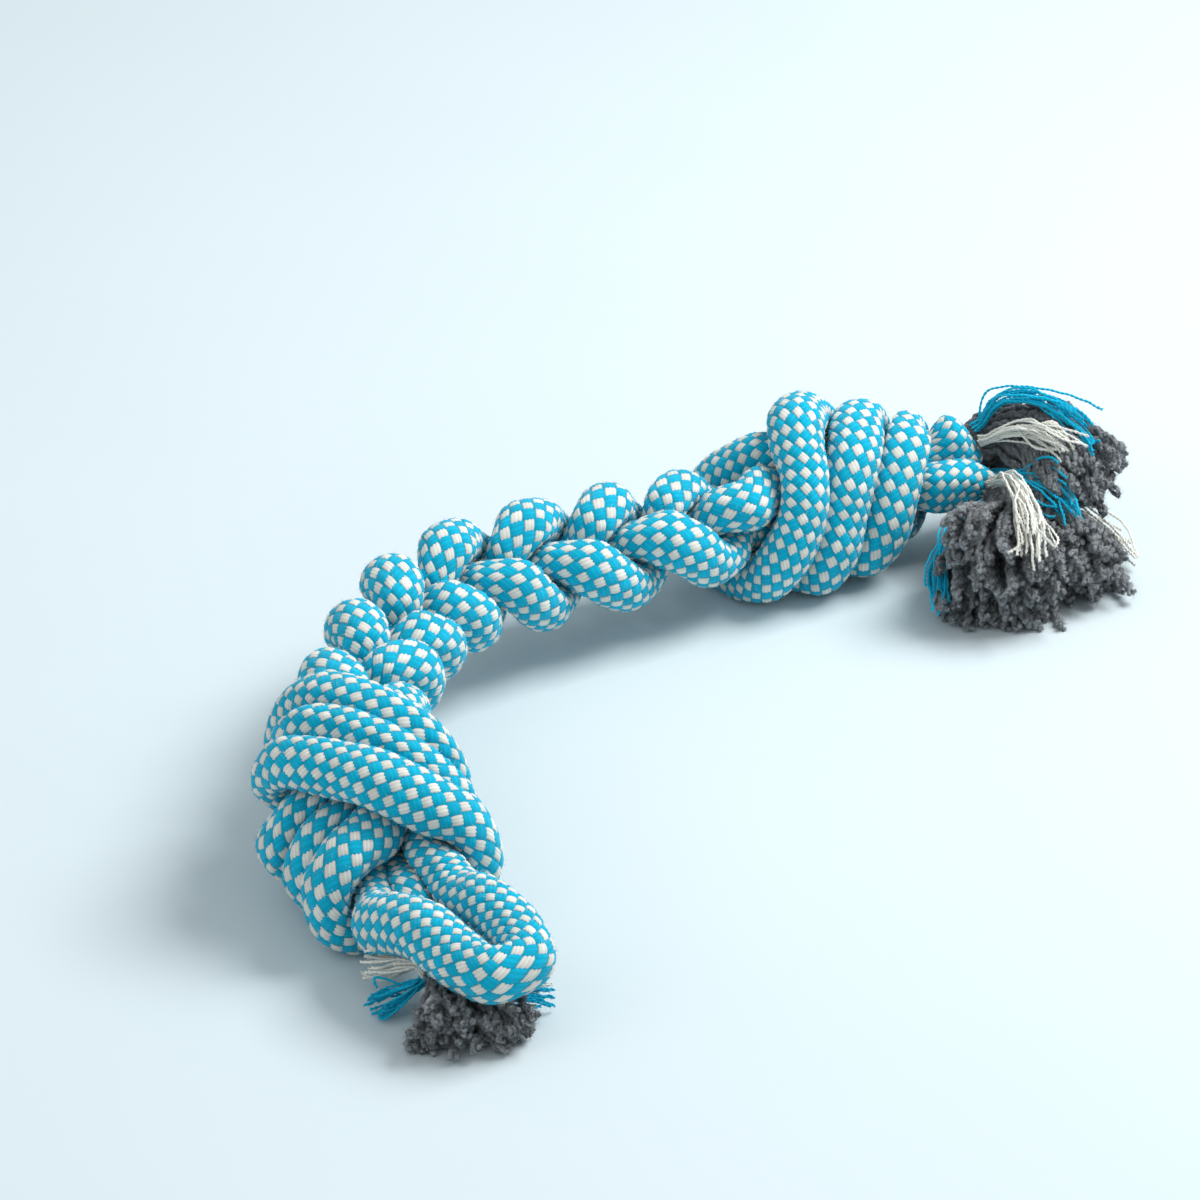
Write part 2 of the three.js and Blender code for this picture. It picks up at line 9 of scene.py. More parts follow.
import bpy
import numpy as np
from bpy.props import FloatProperty, FloatVectorProperty, IntProperty, PointerProperty
from bpy.types import Operator, Panel, PropertyGroup
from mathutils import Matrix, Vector


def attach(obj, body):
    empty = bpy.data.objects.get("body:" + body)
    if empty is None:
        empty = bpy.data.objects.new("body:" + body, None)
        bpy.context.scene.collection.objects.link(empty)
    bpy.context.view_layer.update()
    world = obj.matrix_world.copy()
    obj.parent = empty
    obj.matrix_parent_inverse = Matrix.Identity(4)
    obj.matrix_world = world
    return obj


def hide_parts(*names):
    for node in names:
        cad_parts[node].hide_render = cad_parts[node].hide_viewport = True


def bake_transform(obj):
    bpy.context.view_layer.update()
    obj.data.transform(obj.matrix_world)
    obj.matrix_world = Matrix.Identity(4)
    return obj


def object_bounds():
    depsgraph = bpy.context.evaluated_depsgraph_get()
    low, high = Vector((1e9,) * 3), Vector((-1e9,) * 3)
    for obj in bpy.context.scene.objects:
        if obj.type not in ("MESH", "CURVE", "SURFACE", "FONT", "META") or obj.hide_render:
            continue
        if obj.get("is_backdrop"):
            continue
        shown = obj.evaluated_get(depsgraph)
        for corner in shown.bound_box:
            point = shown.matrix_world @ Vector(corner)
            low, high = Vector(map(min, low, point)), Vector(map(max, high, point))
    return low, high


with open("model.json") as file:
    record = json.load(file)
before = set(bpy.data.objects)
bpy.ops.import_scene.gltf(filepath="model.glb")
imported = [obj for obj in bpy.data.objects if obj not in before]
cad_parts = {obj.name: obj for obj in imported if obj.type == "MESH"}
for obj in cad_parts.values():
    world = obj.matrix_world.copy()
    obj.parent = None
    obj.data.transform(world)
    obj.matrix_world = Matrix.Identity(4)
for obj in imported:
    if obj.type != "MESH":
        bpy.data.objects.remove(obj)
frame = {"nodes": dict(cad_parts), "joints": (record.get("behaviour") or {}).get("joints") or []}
CAD_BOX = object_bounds()

bl_info = {
    "name": "Rope dog toy",
    "version": (1, 0, 0),
    "blender": (4, 5, 0),
    "location": "3D View > Sidebar > Rope toy",
    "description": "Braids the ropes of a knotted dog toy and frays their ends",
    "category": "Object",
}

MM = 0.001

# Corners of a solid closer than this are one corner
WELD_SIZE = 0.002 * MM

# Points in each ring of a solid, and the radius of a cover's bore as a share of its outside
RING_POINTS = 8
BORE_SHARE = 0.6


def lengths_of(k):
    """Lengths of one of the plait's strands, from its cut end to the near knot."""
    plait = (f"plait_strand_{k}_{part}" for part in ("far", "middle", "near"))
    return [f"far_tail_{k}", f"far_knot_strand_{k}", *plait, f"near_knot_strand_{k}"]


# Lengths of rope in order from end to end
LONG_ROPE = (*lengths_of(1), "loop_right_leg", "loop_bow", "loop_left_leg", *reversed(lengths_of(3)))
SHORT_ROPE = ("near_tail", *reversed(lengths_of(2)))


class BraidSettings(PropertyGroup):
    """Braided cover of the ropes."""

    diameter: FloatProperty(
        name="Rope diameter", description="Diameter of a rope that nothing squeezes",
        default=0.016, unit="LENGTH",
    )
    carriers: IntProperty(
        name="Yarns each way", description="Number of yarns that wind each way round a rope", default=12,
    )
    yarn_angle: FloatProperty(
        name="Yarn angle", description="Angle between a yarn and its rope",
        default=math.radians(44), subtype="ANGLE",
    )
    crown: FloatProperty(
        name="Crown", description="Height of a yarn where it passes over another",
        default=0.0005, unit="LENGTH",
    )
    dip: FloatProperty(
        name="Dip", description="Depth of a yarn where it passes under another",
        default=0.0006, unit="LENGTH",
    )
    groove: FloatProperty(
        name="Groove", description="Depth of the grooves between the threads of a yarn",
        default=0.00018, unit="LENGTH",
    )
    swell: FloatProperty(
        name="Swell", description="How far soft rope fills the gaps beside it",
        default=0.0003, unit="LENGTH",
    )
    blue: FloatVectorProperty(
        name="Blue", description="Colour of the blue yarn", subtype="COLOR",
        default=(0.0, 0.47, 0.70),
    )
    beige: FloatVectorProperty(
        name="Beige", description="Colour of the beige yarn", subtype="COLOR",
        default=(0.86, 0.85, 0.76),
    )
    seed: IntProperty(name="Seed", description="Seed of the yarns' small differences", default=4)


class TuftSettings(PropertyGroup):
    """Frayed ends of the ropes."""

    core_yarn: FloatProperty(
        name="Core yarn", description="Thickness of a charcoal core yarn", default=0.0031, unit="LENGTH",
    )
    thread: FloatProperty(
        name="Thread", description="Thickness of a thread of a cover yarn", default=0.0009, unit="LENGTH",
    )
    charcoal: FloatVectorProperty(
        name="Charcoal", description="Colour of the core yarn", subtype="COLOR",
        default=(0.165, 0.185, 0.2),
    )
    fleck: FloatVectorProperty(
        name="Fleck", description="Colour of the pale fibres in the core yarn", subtype="COLOR",
        default=(0.62, 0.65, 0.66),
    )
    seed: IntProperty(name="Seed", description="Seed of the yarns' places and lengths", default=11)


class StageSettings(PropertyGroup):
    """Floor, light and camera."""

    floor: FloatVectorProperty(
        name="Floor", description="Colour of the floor", subtype="COLOR", default=(0.61, 0.70, 0.73),
    )
    elevation: FloatProperty(
        name="Elevation", description="Height of the camera above the horizon",
        default=math.radians(28.4), subtype="ANGLE",
    )
    distance: FloatProperty(
        name="Distance", description="Distance from the camera to the toy", default=1.92, unit="LENGTH",
    )
    field_of_view: FloatProperty(
        name="Field of view", description="Angle that the picture takes in",
        default=math.radians(11.42), subtype="ANGLE",
    )


# Reading the frame

def welded(node):
    """Points and triangles of a CAD node with its shared corners merged."""
    mesh = frame["nodes"][node].data
    corners = np.zeros(len(mesh.vertices) * 3)
    mesh.vertices.foreach_get("co", corners)
    corners = corners.reshape(-1, 3)
    keys = np.round(corners / WELD_SIZE).astype(np.int64)
    _, first, same = np.unique(keys, axis=0, return_index=True, return_inverse=True)
    mesh.calc_loop_triangles()
    triangles = np.zeros(len(mesh.loop_triangles) * 3, np.int64)
    mesh.loop_triangles.foreach_get("vertices", triangles)
    return corners[first], same.reshape(-1)[triangles].reshape(-1, 3)


def rings_of(node):
    """Rings of points of a solid that was skinned over rings, from one end to the other."""
    points, triangles = welded(node)
    beside = [set() for _ in points]
    for a, b, c in triangles:
        beside[a] |= {b, c}
        beside[b] |= {a, c}
        beside[c] |= {a, b}
    end = next(i for i, near in enumerate(beside) if len(near) == RING_POINTS)
    seen = {end}
    layer = sorted(beside[end])
    rings = []
    while len(layer) == RING_POINTS:
        ring = [layer[0]]
        while len(ring) < RING_POINTS:
            ring.append(min(i for i in layer if i not in ring and i in beside[ring[-1]]))
        rings.append(points[ring])
        seen |= set(layer)
        layer = sorted({i for k in layer for i in beside[k]} - seen)
    return rings


def nearest(points, others):
    """For each point, the closest of the others."""
    apart = np.linalg.norm(points[:, None] - others[None], axis=2)
    return others[apart.argmin(1)]


def bore_ring(core_ring, cover):
    """Centre of a rope's section and the points round the outside of its cover."""
    bore = nearest(core_ring, cover)
    ways = bore - core_ring
    ways /= np.linalg.norm(ways, axis=1)[:, None]
    flat = np.eye(3)[None] - ways[:, :, None] * ways[:, None, :]
    centre = np.linalg.solve(flat.sum(0), np.einsum("kij,kj->i", flat, core_ring))
    reach = np.linalg.norm(bore - centre, axis=1) / BORE_SHARE
    return centre, ways * reach[:, None]


def turned(vectors, before, after):
    """Vectors turned as little as possible with a direction that changes."""
    turn = Vector(before).rotation_difference(Vector(after)).to_matrix()
    return vectors @ np.array(turn).T


def line_up(centres, rounds):
    """Puts the points of each ring in the same order along the run, one way round."""
    tangents = np.gradient(centres, axis=0)
    tangents /= np.linalg.norm(tangents, axis=1)[:, None]
    lined = []
    for j, ring in enumerate(rounds):
        facing = np.einsum("ki,i->", np.cross(ring, np.roll(ring, -1, axis=0)), tangents[j])
        if facing < 0:
            ring = ring[::-1]
        if lined:
            want = turned(lined[-1], tangents[j - 1], tangents[j])
            shifts = [np.roll(ring, -k, axis=0) for k in range(RING_POINTS)]
            ring = max(shifts, key=lambda shift: float((shift * want).sum()))
        lined.append(ring)
    return np.array(lined)


def joined_rope(stretches):
    """Centres and outside points of a rope's rings, and where each of its stretches runs."""
    centres, rounds, marks = [], [], []
    for index, name in enumerate(stretches):
        cover, _ = welded(name + "_cover")
        pairs = [bore_ring(ring, cover) for ring in rings_of(name + "_core")]
        ends = np.array([pairs[0][0], pairs[-1][0]])
        if index:
            gaps = np.linalg.norm(ends - centres[-1], axis=1)
        else:
            following = np.concatenate(rings_of(stretches[1] + "_core"))
            gaps = -np.linalg.norm(ends - nearest(ends, following), axis=1)
        # The first length starts at the end that is further from the next, and each of the others
        # at the end that is nearer to the one before it
        if gaps[0] > gaps[1]:
            pairs.reverse()
        if index:
            centres[-1] = (centres[-1] + pairs[0][0]) / 2
            pairs = pairs[1:]
        start = max(len(centres) - 1, 0)
        centres += [p for p, _ in pairs]
        rounds += [r for _, r in pairs]
        marks.append((name, start, len(centres) - 1))
    centres = np.array(centres)
    return centres, line_up(centres, rounds), marks


def along(centres):
    """Distance of each point along a line of points."""
    return np.concatenate([[0], np.cumsum(np.linalg.norm(np.diff(centres, axis=0), axis=1))])


def eased(values, at, wanted):
    """Smooth values between those given at some distances."""
    slopes = np.gradient(values, at, axis=0)
    i = np.clip(np.searchsorted(at, wanted, side="right") - 1, 0, len(at) - 2)
    gap = at[i + 1] - at[i]
    shape = (-1,) + (1,) * (values.ndim - 1)
    t = ((wanted - at[i]) / gap).reshape(shape)
    gap = gap.reshape(shape)
    return (
        (2 * t**3 - 3 * t**2 + 1) * values[i] + (t**3 - 2 * t**2 + t) * gap * slopes[i]
        + (3 * t**2 - 2 * t**3) * values[i + 1] + (t**3 - t**2) * gap * slopes[i + 1]
    )


def rounded(rounds, count):
    """More points round each ring, on a smooth closed line through the ones given."""
    at = np.arange(count) * RING_POINTS / count
    i = np.floor(at).astype(int)
    t = (at - i)[None, :, None]
    a, b, c, d = (rounds[:, (i + k) % RING_POINTS] for k in (-1, 0, 1, 2))
    return 0.5 * (2 * b + (c - a) * t + (2 * a - 5 * b + 4 * c - d) * t**2 + (3 * b - a - 3 * c + d) * t**3)


# Objects and node trees

def new_object(name, data):
    made = bpy.data.objects.new(name, data)
    bpy.context.scene.collection.objects.link(made)
    return made


class Value:
    """A node's output, with the signs of arithmetic for math nodes."""

    def __init__(self, nodes, socket):
        self.nodes = nodes
        self.socket = socket

    def __add__(self, other):
        return self.nodes.math("ADD", self, other)

    def __sub__(self, other):
        return self.nodes.math("SUBTRACT", self, other)

    def __mul__(self, other):
        return self.nodes.math("MULTIPLY", self, other)

    def __truediv__(self, other):
        return self.nodes.math("DIVIDE", self, other)

    def __pow__(self, other):
        return self.nodes.math("POWER", self, other)


class Nodes:
    """A node tree that is put together node by node."""

    def __init__(self, tree):
        self.tree = tree

    def feed(self, socket, value):
        """Sets a socket to a number or setting, or links another node's output to it."""
        if isinstance(value, Value):
            self.tree.links.new(value.socket, socket)
        else:
            socket.default_value = value

    def node(self, kind, settings=None, **inputs):
        """A new node with its settings and its inputs."""
        node = self.tree.nodes.new(kind)
        for key, value in (settings or {}).items():
            setattr(node, key, value)
        for key, value in inputs.items():
            label = key.replace("_", " ")
            self.feed(next(x for x in node.inputs if x.name == label and x.enabled), value)
        return node

    def output(self, node, label):
        """A node's output by its name, the one in use where several share it."""
        return Value(self, next(x for x in node.outputs if x.name == label and x.enabled))

    def add(self, *kind, **inputs):
        """First output of a new node."""
        return Value(self, self.node(*kind, **inputs).outputs[0])

    def math(self, operation, *values):
        node = self.node("ShaderNodeMath", {"operation": operation})
        for socket, value in zip(node.inputs, values):
            self.feed(socket, value)
        return Value(self, node.outputs[0])


# Loose fibres: radius, lean, and the shortest and longest beside the usual
FIBRE_RADIUS = 0.05 * MM
FIBRE_LEAN = 1.2
FIBRE_LENGTHS = (0.5, 1.3)


class Tree(Nodes):
    """A geometry node tree with named inputs."""

    def __init__(self, name, **inputs):
        super().__init__(bpy.data.node_groups.new(name, "GeometryNodeTree"))
        face = self.tree.interface
        face.new_socket("Geometry", in_out="INPUT", socket_type="NodeSocketGeometry")
        for label, kind in inputs.items():
            face.new_socket(label.replace("_", " "), in_out="INPUT", socket_type="NodeSocket" + kind)
        face.new_socket("Geometry", in_out="OUTPUT", socket_type="NodeSocketGeometry")
        self.source = self.tree.nodes.new("NodeGroupInput")
        self.sink = self.tree.nodes.new("NodeGroupOutput")

    def given(self, label):
        return self.output(self.source, label.replace("_", " "))

    def vector(self, operation, *values):
        node = self.node("ShaderNodeVectorMath", {"operation": operation})
        second = node.inputs["Scale"] if operation == "SCALE" else node.inputs[1]
        for socket, value in zip((node.inputs[0], second), values):
            self.feed(socket, value)
        return Value(self, node.outputs[0])

    def xyz(self, x, y, z):
        return self.add("ShaderNodeCombineXYZ", X=x, Y=y, Z=z)

    def position(self):
        return self.add("GeometryNodeInputPosition")

    def parts(self, vector):
        return [Value(self, x) for x in self.node("ShaderNodeSeparateXYZ", Vector=vector).outputs]

    def attribute(self, name, kind="FLOAT"):
        node = self.node("GeometryNodeInputNamedAttribute", {"data_type": kind}, Name=name)
        return self.output(node, "Attribute")

    def random(self, low, high, seed):
        node = self.node("FunctionNodeRandomValue", {"data_type": "FLOAT"}, Min=low, Max=high, Seed=seed)
        return self.output(node, "Value")

    def store(self, geometry, name, value, kind="FLOAT", domain="POINT"):
        settings = {"data_type": kind, "domain": domain}
        return self.add(
            "GeometryNodeStoreNamedAttribute", settings, Geometry=geometry, Name=name, Value=value,
        )

    def fibres(self, mesh, density, length, seed):
        """Loose fibres that stand up from a mesh."""
        spread = self.node("GeometryNodeDistributePointsOnFaces", Mesh=mesh, Density=density, Seed=seed)
        fibre = self.add(
            "GeometryNodeMeshCone", {"fill_type": "NGON"}, Vertices=3, Radius_Top=0.0,
            Radius_Bottom=FIBRE_RADIUS, Depth=length,
        )
        fibre = self.store(self.store(fibre, "depth", 1.0), "tip", 1.0)
        lean = self.xyz(
            self.random(-FIBRE_LEAN, FIBRE_LEAN, seed + 1),
            self.random(-FIBRE_LEAN, FIBRE_LEAN, seed + 2), 0.0,
        )
        lean = self.add("FunctionNodeEulerToRotation", Euler=lean)
        way = self.add(
            "FunctionNodeRotateRotation", {"rotation_space": "LOCAL"},
            Rotation=self.output(spread, "Rotation"), Rotate_By=lean,
        )
        return self.add(
            "GeometryNodeInstanceOnPoints", Points=self.output(spread, "Points"), Instance=fibre,
            Rotation=way, Scale=self.xyz(1.0, 1.0, self.random(*FIBRE_LENGTHS, seed)),
        )

    def finish(self, *parts):
        """Makes each part real geometry with its own material, and joins the parts."""
        joined = self.node("GeometryNodeJoinGeometry")
        for geometry, material in reversed(parts):
            real = self.add("GeometryNodeRealizeInstances", Geometry=geometry)
            smooth = self.add("GeometryNodeSetShadeSmooth", Geometry=real)
            dyed = self.add("GeometryNodeSetMaterial", Geometry=smooth, Material=material)
            self.feed(joined.inputs[0], dyed)
        self.feed(self.sink.inputs[0], Value(self, joined.outputs[0]))
        return self.tree


def grown(name, data, group, **values):
    """Mesh object that a node tree makes from some data, with the tree's inputs set."""
    carrier = new_object(name + "_carrier", data)
    modifier = carrier.modifiers.new("Nodes", "NODES")
    modifier.node_group = group
    sockets = {x.name: x.identifier for x in group.interface.items_tree if x.in_out == "INPUT"}
    for label, value in values.items():
        modifier[sockets[label.replace("_", " ")]] = value
    bpy.context.view_layer.update()
    evaluated = carrier.evaluated_get(bpy.context.evaluated_depsgraph_get())
    mesh = bpy.data.meshes.new_from_object(evaluated)
    bpy.data.objects.remove(carrier)
    mesh.name = name
    return new_object(name, mesh)


def keep_off_floor(piece):
    """Soft rope spreads on the floor and does not sink into it."""
    points = np.zeros(len(piece.data.vertices) * 3, np.float32)
    piece.data.vertices.foreach_get("co", points)
    points = points.reshape(-1, 3)
    points[:, 2] = np.maximum(points[:, 2], 0)
    piece.data.vertices.foreach_set("co", points.ravel())
    piece.data.update()


# Finishes

class Finish(Nodes):
    """A material."""

    def __init__(self, name):
        self.material = bpy.data.materials.new(name)
        self.material.use_nodes = True
        super().__init__(self.material.node_tree)
        self.shader = self.tree.nodes["Principled BSDF"]

    def mix(self, share, one, two):
        node = self.node("ShaderNodeMix", {"data_type": "RGBA"})
        colours = [x for x in node.inputs if x.type == "RGBA"]
        for socket, value in zip((node.inputs[0], *colours), (share, one, two)):
            self.feed(socket, value)
        return Value(self, next(x for x in node.outputs if x.type == "RGBA"))

    def attribute(self, name):
        return self.output(self.node("ShaderNodeAttribute", {"attribute_name": name}), "Fac")

    def noise(self, place, **values):
        return self.add("ShaderNodeTexNoise", Vector=place, **values)

    def on_object(self):
        return self.output(self.node("ShaderNodeTexCoord"), "Object")

    def on_yarn(self, stretch):
        """Places along and round a yarn, drawn out so that a pattern runs along it."""
        place = self.add("ShaderNodeUVMap", {"uv_map": "yarn"})
        return self.add("ShaderNodeMapping", Vector=place, Scale=stretch)

    def set(self, **values):
        for key, value in values.items():
            self.feed(self.shader.inputs[key.replace("_", " ")], value)


def shade(colour, factor):
    return tuple(min(1, c * factor) for c in colour) + (1,)


# Cotton yarn: how much its fibres, tone and blotches lighten it, and its shades
COTTON_FIBRES = 0.55
COTTON_TONE = 0.35
COTTON_BLOTCHES = 0.3
COTTON_DARK = 0.66
COTTON_LIGHT = 1.22
# Painted shade where a cotton yarn's painted light is low: in the braid's hollows and deep in a tuft
COTTON_PAINTED_SHADE = 0.42
COTTON_SHEEN = 0.12


def cotton_yarn(name, colour):
    """Cotton thread: fine fibres along it, small differences of tone, painted shade where it lies deep."""
    finish = Finish(name)
    fibres = finish.noise(finish.on_yarn((3, 30, 1)), Scale=2.0, Detail=4.0)
    blotches = finish.noise(finish.on_object(), Scale=320.0, Detail=2.0)
    amount = fibres * COTTON_FIBRES + finish.attribute("tone") * COTTON_TONE
    amount += blotches * COTTON_BLOTCHES
    colours = finish.mix(amount, shade(colour, COTTON_DARK), shade(colour, COTTON_LIGHT))
    # Painted shade: the yarn darkens toward a dark shade of its colour where its painted light is low
    colours = finish.mix(finish.attribute("depth"), shade(colour, COTTON_PAINTED_SHADE), colours)
    bump = finish.add("ShaderNodeBump", Strength=0.5, Distance=0.15 * MM, Height=fibres)
    finish.set(
        Base_Color=colours, Roughness=0.92, Normal=bump, Sheen_Weight=COTTON_SHEEN,
        Sheen_Roughness=0.5, Specular_IOR_Level=0.15,
    )
    return finish.material


# Charcoal yarn: how much its fibres, tone and fuzz lighten it from a low level, and its shades
CHARCOAL_FIBRES = 1.4
CHARCOAL_TONE = 0.35
CHARCOAL_FUZZ = 3.4
CHARCOAL_LEVEL = 2.25
CHARCOAL_DARK = 0.22
CHARCOAL_LIGHT = 3.2
# Painted shade at a charcoal yarn's root, deep in its tuft
CHARCOAL_ROOT_SHADE = 0.35

# Light at a charcoal yarn's root beside its tip
ROOT_LIGHT = 0.3

# Pale flecks: the noise where they start, how sharp they are and how much they cover
FLECK_START = 0.55
FLECK_SHARPNESS = 8.0
FLECK_COVER = 0.6


def charcoal_yarn(name, colour, fleck):
    """Loose charcoal core yarn with pale fibres in it and fuzzy tips, with painted shade towards its roots.
    """
    finish = Finish(name)
    where = finish.on_object()
    fibres = finish.noise(finish.on_yarn((4, 9, 1)), Scale=2.5, Detail=5.0, Roughness=0.7)
    fuzz = finish.noise(where, Scale=950.0, Detail=5.0, Roughness=0.7)
    flecks = finish.noise(where, Scale=1150.0, Detail=2.0)
    amount = fibres * CHARCOAL_FIBRES + finish.attribute("tone") * CHARCOAL_TONE - CHARCOAL_LEVEL
    amount += fuzz * CHARCOAL_FUZZ
    colours = finish.mix(amount, shade(colour, CHARCOAL_DARK), shade(colour, CHARCOAL_LIGHT))
    pale = finish.math("MAXIMUM", (flecks - FLECK_START) * FLECK_SHARPNESS, 0.0)
    pale = finish.math("MINIMUM", pale, 1.0)
    colours = finish.mix(pale * FLECK_COVER, colours, shade(fleck, 1))
    # Painted shade: darker towards the root, lighter towards the tip
    light = finish.attribute("tip") * (1 - ROOT_LIGHT) + ROOT_LIGHT
    colours = finish.mix(light, shade(colour, CHARCOAL_ROOT_SHADE), colours)
    bump = finish.add("ShaderNodeBump", Strength=1.0, Distance=0.8 * MM, Height=fibres + fuzz)
    finish.set(
        Base_Color=colours, Roughness=1.0, Normal=bump, Sheen_Weight=0.5, Sheen_Roughness=0.45,
        Specular_IOR_Level=0.02,
    )
    return finish.material


def rope_finishes(settings):
    """Blue yarn, beige yarn, and the painted shade under them."""
    names = ("blue_cotton", "beige_cotton", "cotton_shade")
    if names[0] in bpy.data.materials:
        return [bpy.data.materials[name] for name in names]
    # Painted shade: a dark blue for the sheet under the yarns, where shade falls between them
    under = Finish(names[2])
    shade_mottle = under.noise(under.on_object(), Scale=700.0)
    deep = under.mix(shade_mottle, shade(settings.blue, 0.1), shade(settings.blue, 0.35))
    under.set(Base_Color=deep, Roughness=1.0, Specular_IOR_Level=0.05)
    blue = cotton_yarn(names[0], settings.blue)
    beige = cotton_yarn(names[1], settings.beige)
    return blue, beige, under.material


# Braid

# A rope's smooth surface: the spacing of its rings, the points round it, and the share of its
# length at each end that isn't sampled
SURFACE_STEP = 1.5 * MM
SURFACE_ROUND = 48
SURFACE_MARGIN = 0.0002

# The sheet of painted shade under the yarns: the spacing of its rings, the points round it, its
# depth beside the yarns' dip, and the gap that is closed where its edges meet
SHADE_SHEET_STEP = 2 * MM
SHADE_SHEET_ROUND = 25
SHADE_SHEET_DEPTH = 0.6
SHADE_SHEET_SEAM = 0.01 * MM

# A float, the stretch of a yarn that passes over another: its points along and across, the curve
# of its arch and edges, its edges' drop beside the crown, its ends' width beside its middle's, and
# the threads in it
FLOAT_ALONG = 6
FLOAT_ACROSS = 7
ARCH_POWER = 1.1
EDGE_POWER = 3.0
EDGE_DROP = 0.45
END_WIDTH = 0.88
THREADS = 3

# Light at a float's ends, edges and grooves beside its top
END_LIGHT = 0.25
EDGE_LIGHT = 0.6
GROOVE_LIGHT = 0.64

# Yarns each way: colour, shift of rows and columns, way of turning, and width beside an even weave
WAYS_ROUND = (("Blue", 0.0, 1.0, 1.18), ("Beige", 0.5, -1.0, 0.87))

# How far floats differ in angle, width and height
ASKEW = 0.06
WIDTH_SPREAD = 0.05
HEIGHT_SPREAD = 0.2

# Loose fibres on each square metre of the braid, and their length
BRAID_FIBRES = 1.8e5
BRAID_FIBRE_LENGTH = 1.6 * MM


def rope_surface(name, stretches, swell):
    """Smooth outside of a whole rope, with its length and turn as a UV map, and its marks."""
    centres, rounds, marks = joined_rope(stretches)
    reach = np.linalg.norm(rounds, axis=2, keepdims=True)
    rounds = rounds * (1 + swell / reach)
    at = along(centres)
    fine = np.linspace(0, at[-1], int(at[-1] / SURFACE_STEP))
    rows = eased(centres, at, fine)[:, None] + eased(rounded(rounds, SURFACE_ROUND), at, fine)
    count = len(fine)
    mesh = bpy.data.meshes.new(name)
    j, k = np.meshgrid(np.arange(count - 1), np.arange(SURFACE_ROUND), indexing="ij")
    after = (k + 1) % SURFACE_ROUND
    quads = np.stack([
        j * SURFACE_ROUND + k, j * SURFACE_ROUND + after,
        (j + 1) * SURFACE_ROUND + after, (j + 1) * SURFACE_ROUND + k,
    ], axis=-1).reshape(-1, 4)
    mesh.from_pydata(rows.reshape(-1, 3).tolist(), [], quads.tolist())
    u = np.stack([j, j, j + 1, j + 1], axis=-1) / (count - 1)
    v = np.stack([k, k + 1, k + 1, k], axis=-1) / SURFACE_ROUND
    layer = mesh.uv_layers.new(name="rope")
    layer.data.foreach_set("uv", np.stack([u, v], axis=-1).astype(np.float32).ravel())
    runs = {stretch: (at[a], at[b]) for stretch, a, b in marks}
    return new_object(name, mesh), at[-1], runs


def float_of_yarn(tree):
    """A float, flat but for its arch, its rounded edges and the grooves between its threads."""
    given = tree.given
    tile = tree.node(
        "GeometryNodeMeshGrid", Size_X=given("Float_length"), Size_Y=given("Float_width"),
        Vertices_X=FLOAT_ALONG, Vertices_Y=FLOAT_ACROSS,
    )
    x, y, _ = tree.parts(tree.position())
    half_turn = x / given("Float_length") * math.pi
    arch = tree.math("MAXIMUM", tree.math("COSINE", half_turn), 0.0) ** ARCH_POWER
    side = y / given("Float_width")
    edge = tree.math("ABSOLUTE", side * 2.0) ** EDGE_POWER
    ridge = tree.math("ABSOLUTE", tree.math("SINE", (side + 0.5) * (THREADS * math.pi)))
    height = arch * (given("Crown") + given("Dip")) - given("Dip")
    height -= edge * (given("Crown") * EDGE_DROP)
    height += (ridge - 1.0) * given("Groove")
    narrowing = arch * (1 - END_WIDTH) + END_WIDTH
    shaped = tree.add(
        "GeometryNodeSetPosition", Geometry=tree.output(tile, "Mesh"),
        Position=tree.xyz(x, y * narrowing, height),
    )
    shaped = tree.store(shaped, "yarn", tree.output(tile, "UV Map"), "FLOAT2", "CORNER")
    # Painted light for the cotton finish: painted shade at a float's ends, edges and grooves, where shade
    # falls
    light = (arch * (1 - END_LIGHT) + END_LIGHT) * (edge * (EDGE_LIGHT - 1) + 1.0)
    light *= ridge * (1 - GROOVE_LIGHT) + GROOVE_LIGHT
    return tree.store(shaped, "depth", light)


